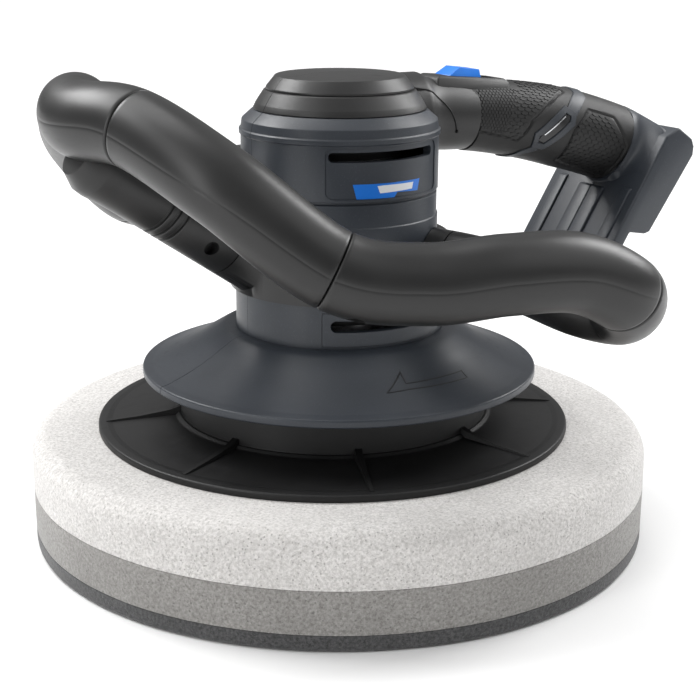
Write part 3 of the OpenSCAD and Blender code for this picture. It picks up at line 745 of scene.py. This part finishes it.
def line_distance(px, py, outline, closed=True):
    """Distance in millimetres from points on the unrolled grip to an outline."""
    best = np.full(px.shape, 1e9)
    pts = [(x, a * unrolled) for x, a in outline]
    for (ax, ay), (bx, by) in zip(pts, pts[1:] + (pts[:1] if closed else [])):
        dx, dy = bx - ax, by - ay
        t = np.clip(((px - ax) * dx + (py - ay) * dy) / (dx * dx + dy * dy + 1e-9), 0, 1)
        best = np.minimum(best, np.hypot(px - ax - t * dx, py - ay - t * dy))
    return best


def inside(x, a, outline):
    hit = False
    for (xa, aa), (xb, ab) in zip(outline, outline[1:] + outline[:1]):
        if (aa > a) != (ab > a) and x < (xb - xa) * (a - aa) / (ab - aa) + xa:
            hit = not hit
    return hit


def sleeve(name, start, end, rows, around, grooves, finish, wall=2.2):
    """A stretch of the grip from station start to end(a), with grooves sunk in it."""
    angles = [-90 + 360 * k / around for k in range(around)]
    fold = np.array([mirrored(a) for a in angles])
    out = np.zeros((rows + 1, around))
    xs = np.array([[start + (end(a) - start) * i / rows for a in fold] for i in range(rows + 1)])
    py = np.tile(fold * unrolled, (rows + 1, 1))
    for outline, closed, depth, width in grooves:
        d = line_distance(xs, py, outline, closed)
        out = np.maximum(out, depth * np.clip(1.6 - d / (width / 2), 0, 1))
    out[[0, rows]] += 0.35
    grid = [[grip_point(xs[i, k], angles[k], out[i, k]) for k in range(around)] for i in range(rows + 1)]
    back = [[grip_point(xs[i, k], angles[k], wall) for k in range(around)] for i in (rows, rows // 2, 0)]
    return lofted(name, grid + back, finish, 55)


outer_hex = [(95.5, 34), (100.7, 24), (100.8, 6), (89.8, -40), (84.2, -41), (81.7, -19)]
inner_hex = [(95.5, 20), (98.1, 19), (97.8, 11), (88.1, -29), (85, -26), (86, -15)]
rear_line = [(131.3, 90), (132.2, 30), (130.4, -19), (126.5, -90)]
grooves = [(front_field, True, 0.55, 0.8), (rear_field, True, 0.55, 0.8), (rear_line, False, 0.45, 0.7)]
grip = sleeve("grip_rubber", 56.2, lambda a: 131 + 0.02 * a, 150, 180, grooves, rubber)
cut_out(grip, box_tool(on_switch, (-20, 14), (-6.0, 6.0), (-5.2, 12), rubber))
fit(grip, "housing", "rubber_grip", "grip_front", "grip_rear")


def field_tree(name, finish):
    """Sets one small scale on every point of a field, facing out and along the grip."""
    tree, enter, real = tree_for(name, finish, (("Scale piece", "NodeSocketObject"), ("Size", "NodeSocketFloat")))
    facing, lying = (tree.nodes.new("FunctionNodeAlignRotationToVector") for _ in range(2))
    item, outward, lengthwise, copy = (tree.nodes.new("GeometryNode" + kind) for kind in (
        "ObjectInfo", "InputNamedAttribute", "InputNamedAttribute", "InstanceOnPoints"))
    size = tree.nodes.new("ShaderNodeCombineXYZ")
    outward.data_type = lengthwise.data_type = "FLOAT_VECTOR"
    outward.inputs["Name"].default_value, lengthwise.inputs["Name"].default_value = "outward", "lengthwise"
    facing.axis, lying.axis, lying.pivot_axis = "Z", "X", "Z"
    wire(tree, (enter, "Scale piece", item, "Object"), (outward, "Attribute", facing, "Vector"),
         (facing, 0, lying, "Rotation"), (lengthwise, "Attribute", lying, "Vector"), (lying, 0, copy, "Rotation"),
         (enter, "Geometry", copy, "Points"), (item, "Geometry", copy, "Instance"),
         *((enter, "Size", size, k) for k in range(3)), (size, 0, copy, "Scale"), (copy, 0, real, 0))
    return tree


def field_points(name, spots):
    mesh = bpy.data.meshes.new(name)
    mesh.from_pydata([tuple(grip_point(x, a, 0.12) / 1000) for x, a in spots], [], [])
    outs, longs = [], []
    for x, a in spots:
        here, ahead, round_ = grip_point(x, a), grip_point(x + 0.5, a), grip_point(x, a + 2)
        longs.append((ahead - here).normalized())
        outs.append((round_ - here).cross(ahead - here).normalized())
    for label, values in (("outward", outs), ("lengthwise", longs)):
        att = mesh.attributes.new(label, "FLOAT_VECTOR", "POINT")
        att.data.foreach_set("vector", [c for v in values for c in v])
    return mesh


point_piece = placed("one_point", closed_mesh(
    "one_point", [(-.55, -.55, -.3), (.55, -.55, -.3), (.55, .55, -.3), (-.55, .55, -.3), (0, 0, .75)],
    [(0, 3, 2, 1), (0, 1, 4), (1, 2, 4), (2, 3, 4), (3, 0, 4)]))
scale_foot = [(-1.5, 0, -.3), (-.7, -.62, -.3), (.7, -.62, -.3), (1.5, 0, -.3), (.7, .62, -.3), (-.7, .62, -.3)]
scale_face = [(-1.1, .05, .62), (-.5, -.25, .72), (.6, -.25, .12), (1.1, .05, .08), (.6, .3, .3), (-.5, .3, .72)]
scale_piece = placed("one_scale", closed_mesh("one_scale", scale_foot + scale_face, ends(2, 6) + joined(2, 6)))


def lattice(fields, x0, x1, pitch_x, pitch_a, skew, keep):
    spots, row, a = [], 0, -88.0
    while a <= 268:
        x = x0 + (skew if row % 2 else 0)
        while x <= x1:
            m = mirrored(a)
            at = np.array([[x]]), np.array([[m * unrolled]])
            under_switch = abs(a - 90) < 36 and x < 76
            within = lambda field: inside(x, m, field) and line_distance(*at, field)[0, 0] > 1.15
            if keep(x, m) and not under_switch and any(within(field) for field in fields):
                spots.append((x, a))
            x += pitch_x
        a += pitch_a
        row += 1
    return spots


fine_edge = lambda x, a: x < 71.5 + 0.08 * (a - 20)
fine_spots = lattice([front_field], 48, 84, 1.55, 5.2, 0.775, fine_edge)
scale_spots = lattice([front_field, rear_field], 66, 130, 3.3, 5.6, 1.65, lambda x, a: not fine_edge(x, a))
points_field = grown("grip_points", field_points("points_at", fine_spots), field_tree("fine_points", rubber),
                     {"Scale piece": point_piece, "Size": 1.0}, 20)
scales_field = grown("grip_scales", field_points("scales_at", scale_spots), field_tree("scales", rubber),
                     {"Scale piece": scale_piece, "Size": 1.12}, 20)
for field, item in ((points_field, point_piece), (scales_field, scale_piece)):
    fit(field, "housing", "rubber_grip")
    bpy.data.objects.remove(item)


# ---- Accent on the grip -----------------------------------------------------
# A slate band wraps over the grip and frames a black insert with a bright line
# on each side. It is a hard moulding that the rubber is shot against.

def on_side(a, side):
    """An angle on the right side of the grip, carried to the left one if side is 1."""
    return a if side < 0 else 180 - a


def strip(name, path, width, low, high, finish, closed, side):
    """A flat raised strip along a path on the grip, from depth low to height high."""
    n = len(path)
    flat_pts = [Vector((x, a * unrolled)) for x, a in path]
    points = []
    for i in range(n):
        before = flat_pts[i - 1] if closed or i else flat_pts[i]
        after = flat_pts[(i + 1) % n] if closed or i < n - 1 else flat_pts[i]
        d1, d2 = flat_pts[i] - before, after - flat_pts[i]
        d1 = (d1 if d1.length > 1e-6 else d2).normalized()
        d2 = d2.normalized() if d2.length > 1e-6 else d1
        normal = Vector((-(d1 + d2).y, (d1 + d2).x)).normalized()
        spread = width / 2 / max(0.5, normal.dot(Vector((-d1.y, d1.x))))
        for off, h in ((-1, low), (1, low), (1, high * 0.6), (0.78, high), (-0.78, high), (-1, high * 0.6)):
            x, a = flat_pts[i].x + normal.x * off * spread, (flat_pts[i].y + normal.y * off * spread) / unrolled
            points.append(grip_point(x, on_side(a, side), -h))
    faces = joined(n, 6, looped=closed) + ([] if closed else ends(n, 6))
    return solid(name, points, faces, finish, 28)


def filled(name, outline, low, high, finish, side):
    """A flat plate on the grip inside an outline."""
    n = len(outline)
    mid_x, mid_a = sum(x for x, a in outline) / n, sum(a for x, a in outline) / n
    rings = ((1.0, low), (1.0, high - 0.3), (0.93, high), (0.6, high), (0.3, high))
    points = [grip_point(mid_x + (x - mid_x) * k, on_side(mid_a + (a - mid_a) * k, side), -h)
              for k, h in rings for x, a in outline]
    return solid(name, points, joined(5, n) + ends(5, n), finish, 28)


def dense(outline, step=0.8, closed=True):
    """Fills in the edges of an outline on the grip."""
    out = []
    for (xa, aa), (xb, ab) in zip(outline, outline[1:] + (outline[:1] if closed else [])):
        count = max(1, int(round(sqrt((xa - xb) ** 2 + ((aa - ab) * unrolled) ** 2) / step)))
        out += [(xa + (xb - xa) * k / count, aa + (ab - aa) * k / count) for k in range(count)]
    return out if closed else out + [outline[-1]]


insert_black = moulded("insert_black", (0.010, 0.010, 0.011), (0.014, 0.014, 0.015), 0.30, 0.6, 0.01)
bright = machined("bright_line", (0.55, 0.56, 0.58), (0.70, 0.71, 0.73), 0.25)
over_path = [(98.6, 24), (101.5, 42), (105.0, 60), (106.0, 90)]
under_path = [(86.6, -38), (81.5, -54), (77.0, -90)]
line_path = [(87.2, -15), (95.4, 16)]
middle_hex = [((xo + xi) / 2, (ao + ai) / 2) for (xo, ao), (xi, ai) in zip(outer_hex, inner_hex)]
for half, s in halves:
    border = strip("accent_frame_" + half, dense(middle_hex), 2.6, -0.8, 0.55, slate, True, s)
    fit(border, "housing", "slate_plastic", *(("accent_band",) if s < 0 else ()))
    for name, path, width in (("accent_over_", over_path, 5.2), ("accent_under_", under_path, 3.0)):
        fit(strip(name + half, dense(path, closed=False), width, -0.8, 0.5, slate, False, s), "housing", "slate_plastic")
    insert = filled("accent_insert_" + half, dense(inner_hex), -0.8, 0.30, insert_black, s)
    fit(insert, "housing", "black_plastic", *(("accent_inserts",) if s < 0 else ()))
    line = strip("accent_line_" + half, dense(line_path, closed=False), 0.55, 0.0, 0.48, bright, False, s)
    fit(line, "housing", "steel")
dress(satin, "core_right", "core_left")


# ---- Slide switch -----------------------------------------------------------
# A blue moulded thumb slide in a black surround on top of the neck. A finger
# scoop is moulded behind it.

switch_blue = moulded("switch_blue", (0.004, 0.165, 0.68), (0.006, 0.205, 0.80), 0.30, 0.6, 0.01)


def edged(piece, width, flat=40, least=24):
    """Rounds the moulded edges of a block that are sharper than least degrees."""
    edges = piece.modifiers.new("edges", "BEVEL")
    edges.width, edges.segments = width / 1000, 3
    edges.limit_method, edges.angle_limit = "ANGLE", radians(least)
    settled(piece)
    soften(piece, flat)
    return piece


def stack(name, layers, finish, width):
    """A moulded block through stacked outlines, with rounded edges."""
    n, m = len(layers[0]), len(layers)
    block = solid(name, [p for layer in layers for p in layer], ends(m, n) + joined(m, n), finish)
    return edged(block, width, 35, 25)


def slab(a0, a1, half, c0, c1=None):
    """One outline of a stack, at height c0 or sloping from c0 to c1."""
    c1 = c0 if c1 is None else c1
    return [on_switch(a0, -half, c0), on_switch(a1, -half, c1), on_switch(a1, half, c1), on_switch(a0, half, c0)]


button = stack("switch_button", [slab(-9.6, 4.6, 4.7, -3.6), slab(-9.6, 4.6, 4.7, 0.7), slab(-10, 5, 5.2, 0.9),
                                 slab(-9.8, 4.8, 5.1, 1.6), slab(-5.4, 4.0, 4.7, 4.75, 4.4)], switch_blue, 0.45)
fit(button, "switch", "blue_plastic", "switch_button")
surround = stack("switch_surround", [slab(-17.6, 17.6, 8.0, -4.6), slab(-17.6, 17.6, 8.6, -3.4),
                                     slab(-17.0, 17.2, 7.2, 0.2), slab(-15.5, 15.5, 6.2, 1.4)], crown_black, 0.7)
cut_out(surround, box_tool(on_switch, (-10.5, 11.7), (-5.6, 5.6), (-6, 4), crown_black))
fit(surround, "housing", "black_plastic", "switch_surround")


# ---- Control board ----------------------------------------------------------
# A small speed board inside the handle, green solder resist on glass laminate.

board_green = Finish("board_green", Coat_Weight=0.2)
weave = board_green.cells(0.8)
board_green.colour(board_green.between(board_green.range(weave, 0.1, 0.6), (0.010, 0.070, 0.030), (0.016, 0.100, 0.045)))
board_green.rough(board_green.range(weave, 0, 0.6, 0.30, 0.42))
dress(board_green, "control_board")


# ---- Battery mount ----------------------------------------------------------
# The foot of the D handle is a leaning slate moulding in two halves. The
# battery slides up into the open socket on its rear face.

lean = radians(32)
foot_n, foot_u = Vector((cos(lean), 0, -sin(lean))), Vector((sin(lean), 0, cos(lean)))
foot_at = Vector((128, 0, 128))


def on_foot(n, y, u):
    """A point on the foot: back from its front face, across, and up along it."""
    return foot_at + foot_n * n + Vector((0, y, 0)) + foot_u * u


def foot_block(name, outline, y0, y1):
    """A block with one side outline (n, u), between two widths."""
    k = len(outline)
    return solid(name, [on_foot(n, y, u) for y in (y0, y1) for n, u in outline], ends(2, k) + joined(2, k), slate)


def shoulder_ring(t, s, along, count=40):
    """Half a ring of the shoulder, t of the way from the grip's end to the foot."""
    ring = []
    for k in range(count + 1):
        a = -90 + 180 * k / count
        start = grip_point(130.6 + 0.02 * a, on_side(a, s), -0.05)
        c, v = cos(radians(a)), sin(radians(a))
        across, height = abs(c) ** squareness, abs(v) ** squareness
        end = on_foot(2.2, s * 27.3 * across, shoulder_u + 17.6 * height * (1 if v > 0 else -1.25))
        ring.append(start * (2 * t ** 3 - 3 * t * t + 1) + along * 17 * (t ** 3 - 2 * t * t + t)
                    + end * (3 * t * t - 2 * t ** 3) + foot_n * 15 * (t ** 3 - t * t))
    return ring


squareness, shoulder_u = 2.0 / 5.0, 9.5
wall_outline = [(-1, -39.8), (4.8, -39.8), (5.0, -19.5), (12.4, -16.5), (14.4, -14.6),
                (16.5, 22.3), (14.8, 25.6), (12, 27.6), (3, 28.0), (-1, 22)]
land_outline = [(-2.1, -38.6), (0, -39.2), (0, -4), (-2.1, -6)]
step_outline = [(-1.9, -38.6), (0, -39.2), (0, -2), (-1.9, -4)]
grip_heading = sum((grip_point(131.0, a) - grip_point(129.0, a) for a in (90, -90)), Vector((0, 0, 0))).normalized()
for half, s in halves:
    wall = foot_block("mount_" + half, wall_outline, s * 0.03, s * 27.95)
    cut_out(wall, box_tool(on_foot, (5, 25), (-s * 1.0, s * 24), (-60, 20), slate))
    fit(edged(wall, 0.9), "housing", "slate_plastic", "mount_" + half)
    fit(edged(foot_block("mount_land_" + half, land_outline, s * 0.03, s * 7.6), 0.5), "housing", "slate_plastic")
    fit(edged(foot_block("mount_step_" + half, step_outline, s * 17.5, s * 23.5), 0.6), "housing", "slate_plastic")
    rings = [shoulder_ring(r / 14, s, grip_heading) for r in range(15)]
    foot = [(p.y, (p - foot_at).dot(foot_u)) for p in rings[-1]]
    rings.append([on_foot(7, y * 0.8, u * 0.8) for y, u in foot])
    rings.append([on_foot(-6, y * 0.3, shoulder_u + (u - shoulder_u) * 0.3) for y, u in foot])
    rings.append([grip_point(130.6, on_side(-90 + 180 * k / 40, s), 4) for k in range(41)])
    fit(half_lofted("mount_shoulder_" + half, rings, slate, 40), "housing", "slate_plastic")


# ---- Ring handle ------------------------------------------------------------
# A ring of black tube that both hands hold. It is moulded in seven lengths,
# butted with fine seams and fixed by screws from below.

ring_knots = [(-94, 27, 165.5), (-102, 0, 166), (-94, -27, 165.5), (-79.5, -61, 150.5), (-51, -83.5, 124.5),
              (-24, -96.2, 119.3), (1.7, -105.1, 121.2), (27, -110, 120), (48, -110, 110.5), (57, -98, 101.8),
              (51, -83, 101.3), (41.5, -61, 105.6), (31, -42, 108), (24, -30, 109), (18, -20, 110)]
tube_r, bar_r = 13.64, 12


def ring_at(u):
    """A point of the ring's centre line, u counted in quarter knots from the nose."""
    i = min(int(u // 4), len(ring_knots) - 4)
    return Vector(spline(*ring_knots[i:i + 4], u / 4 - i))


def ring_radius(u):
    """Radius of the tube at u: full to 32, then tapering into the return bar."""
    return tube_r if u <= 32 else bar_r if u >= 40 else tube_r - 1.74 * (u - 32) / 8


def ring_piece(name, u0, u1, finish, s, steps_per=5, wall=3.6):
    """One length of the ring tube with a fine seam at each end and a parting line."""
    count = int(abs(u1 - u0) * steps_per)
    stations = [u0 + (u1 - u0) * k / count for k in range(count + 1)]
    angles = sorted([360 * k / 72 for k in range(72)] + [179.2, 180.8, 0.8, 359.2])

    def centre(u): return ring_at(u) if u >= 0 else Vector((ring_at(-u).x, -ring_at(-u).y, ring_at(-u).z))

    def heading(u):
        if abs(u) < 1e-6: return Vector((0, -1, 0))
        return (centre(u + 0.05) - centre(u - 0.05)).normalized()

    def loop(u, shift, pull):
        along = heading(u)
        side = along.cross(Vector((0, 0, 1))).normalized()
        up = side.cross(along)
        p = centre(u) + along * shift
        out = []
        for a in angles:
            off = min(abs(a - 180), a, 360 - a)
            r = ring_radius(abs(u)) - pull - (0.07 if off < 0.5 else 0)
            q = p + side * (cos(radians(a)) * r) + up * (sin(radians(a)) * r)
            out.append(Vector((q.x, -s * q.y, q.z)))
        return out

    first, last = stations[0], stations[-1]
    rings = [loop(first, 0.02, 1.0), loop(first, 0.24, 0.32), loop(first, 0.60, 0.0)]
    rings += [loop(u, 0, 0) for u in stations[1:-1]]
    rings += [loop(last, -0.60, 0.0), loop(last, -0.24, 0.32), loop(last, -0.02, 1.0), loop(last, -0.02, wall)]
    rings += [loop(u, 0, wall) for u in stations[-4:3:-4]] + [loop(first, 0.02, wall)]
    return lofted(name, rings, finish, 60)


def well(point, into, radius, depth, finish):
    """A round cutter for a screw well, from a point on the skin inwards."""
    return tube_block("tool", Vector(point) - Vector(into).normalized() * 8, into, radius, depth + 8, finish, 40)


fit(ring_piece("ring_nose", -4, 4, satin, -1), "housing", "black_plastic", "ring_nose")
for half, s in halves:
    for part, u0, u1, screw_at in (("ring_arm_", 4, 12, 5.0), ("ring_side_", 12, 28, 13.2), ("ring_end_", 28, 46, None)):
        piece = ring_piece(part + half, u0, u1, satin, s)
        if screw_at:
            p = ring_at(screw_at)
            ahead = (ring_at(screw_at + 0.1) - p).normalized()
            side = ahead.cross(Vector((0, 0, 1))).normalized()
            into = (side.cross(ahead) * 0.93 - side * 0.37).normalized()
            skin = p - into * 13.8
            if s > 0:
                skin, into = Vector((skin.x, -skin.y, skin.z)), Vector((into.x, -into.y, into.z))
            cut_out(piece, well(skin, into, 3.1, 2.4, satin))
        soften(piece, 60)
        fit(piece, "housing", "black_plastic", part + half)


# ---- Strut ------------------------------------------------------------------
# A round strut of the same black plastic joins the nose of the ring to the
# yoke. Three grooves ring it, and a screw in a deep well holds it.

strut_tilt = radians(124.4)
strut_top, strut_dir = Vector((-98, 0, 151.8)), Vector((sin(strut_tilt), 0, cos(strut_tilt)))
strut_line = [(0, -7), (9.4, -7), (12.6, -1.5), (12.9, 2, 3), (12.5, 8, 3), (12.3, 14)]
for groove_at in (27.9, 31.4, 34.9):
    strut_line += [(12.3, groove_at, 0.3), (11.4, groove_at + 0.35), (11.4, groove_at + 1.1), (12.3, groove_at + 1.45, 0.3)]
strut_line = corners(strut_line + [(12.3, 60.8, 0.3), (0, 60.8)], 3)
side_v = Vector((0, 1, 0))
up_v = side_v.cross(strut_dir)
rings = [[strut_top + strut_dir * z + (side_v * cos(2 * pi * k / 96) + up_v * sin(2 * pi * k / 96)) * r for k in range(96)]
         for r, z in strut_line]
strut = lofted("strut", rings, satin, 40)
for y in (-1, 1):
    cut_out(strut, tube_block("tool", (-59.5, y * 20, 118.6), (0, -y, 0), 2.6, 14, satin, 40))
fit(strut, "housing", "black_plastic", "strut")


# ---- Floor, lights and camera -----------------------------------------------
# A plain pale floor and soft studio light, seen from the tool's right front.

pale = Finish("pale_floor")
sweep = pale.cloud(400, 1)
pale.colour(pale.between(pale.range(sweep, 0.3, 0.7), (0.90, 0.90, 0.90), (0.92, 0.92, 0.92)))
pale.rough(pale.range(sweep, 0.3, 0.7, 0.62, 0.66))
away = pale.add("ShaderNodeVectorMath", {"operation": "LENGTH"}, {0: pale.place}, "Value")
fade = pale.between(pale.range(away, 0.35, 1.1), (0.0, 0.0, 0.0), (0.30, 0.30, 0.30))
pale.tree.links.new(fade.socket, pale.shader.inputs["Emission Color"])
pale.shader.inputs["Emission Strength"].default_value = 1.0
floor_mesh = bpy.data.meshes.new("floor")
reach, drop = 6, -0.0003
floor_corners = [(-reach, -reach, drop), (reach, -reach, drop), (reach, reach, drop), (-reach, reach, drop)]
floor_mesh.from_pydata(floor_corners, [], [(0, 1, 2, 3)])
floor_mesh.materials.append(pale.material)
placed("floor", floor_mesh)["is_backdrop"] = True

world = bpy.data.worlds.new("studio")
bpy.context.scene.world = world
world.use_nodes = True
sky = world.node_tree
sky.nodes.clear()
spot, split, lift, glow, white, seen, mix, out = (sky.nodes.new("ShaderNode" + kind) for kind in (
    "TexCoord", "SeparateXYZ", "MapRange", "Background", "Background", "LightPath", "MixShader", "OutputWorld"))
for k, value in ((1, -0.1), (2, 0.9), (3, 0.14), (4, 0.62)):
    lift.inputs[k].default_value = value
white.inputs["Strength"].default_value = 1.0
white.inputs["Color"].default_value = glow.inputs["Color"].default_value = (1, 1, 1, 1)
wire(sky, (spot, "Generated", split, 0), (split, "Z", lift, "Value"), (lift, 0, glow, "Strength"),
     (seen, "Is Camera Ray", mix, 0), (glow, 0, mix, 1), (white, 0, mix, 2), (mix, 0, out, 0))
bpy.context.scene.view_settings.view_transform = "Standard"


def hung(name, lamp, place, toward):
    """Hangs a lamp at a place, shining toward a direction."""
    holder = placed(name, lamp)
    holder.location = place
    holder.rotation_mode = "QUATERNION"
    holder.rotation_quaternion = Vector(toward).to_track_quat("-Z", "Y")


def soft_light(name, toward, spread, strength):
    """A broad soft light that falls the same all over the floor."""
    lamp = bpy.data.lights.new(name, "SUN")
    lamp.angle, lamp.energy = radians(spread), strength
    hung(name, lamp, (0, 0, 0), toward)


def softbox(name, place, target, width, height, power):
    """A rectangular softbox near the tool, for the long highlights on its tubes."""
    lamp = bpy.data.lights.new(name, "AREA")
    lamp.shape, lamp.size, lamp.size_y, lamp.energy = "RECTANGLE", width, height, power
    hung(name, lamp, place, Vector(target) - Vector(place))


soft_light("top_light", (0.10, -0.50, -1.0), 40, 0.92)
soft_light("left_light", (0.95, 0.10, -0.85), 30, 0.27)
soft_light("front_light", (-0.62, 0.75, -0.80), 50, 0.48)
softbox("back_softbox", (-0.45, 0.55, 0.75), (-0.02, 0, 0.12), 0.55, 0.30, 6.5)
softbox("left_softbox", (-0.85, -0.25, 0.35), (0, 0, 0.12), 0.16, 0.55, 1.6)
softbox("right_softbox", (0.64, -0.02, 0.56), (0.05, -0.02, 0.10), 0.30, 0.50, 4.0)

camera_data = bpy.data.cameras.new("camera")
camera_data.lens, camera_data.sensor_width = 78.74, 36.0
camera_data.clip_start, camera_data.clip_end = 0.05, 50
camera = placed("camera", camera_data)
right, up = Vector((0.85856, -0.51268, 0.00495)), Vector((0.13913, 0.24226, 0.96018))
ahead = Vector((0.49347, 0.82369, -0.27932))
turn = Matrix((right, up, -ahead)).transposed().to_4x4()
camera_place = Vector((-0.2930374, -0.4974788, 0.2373426))
camera.matrix_world = Matrix.Translation(camera_place) @ turn
bpy.context.scene.camera = camera

low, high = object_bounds()
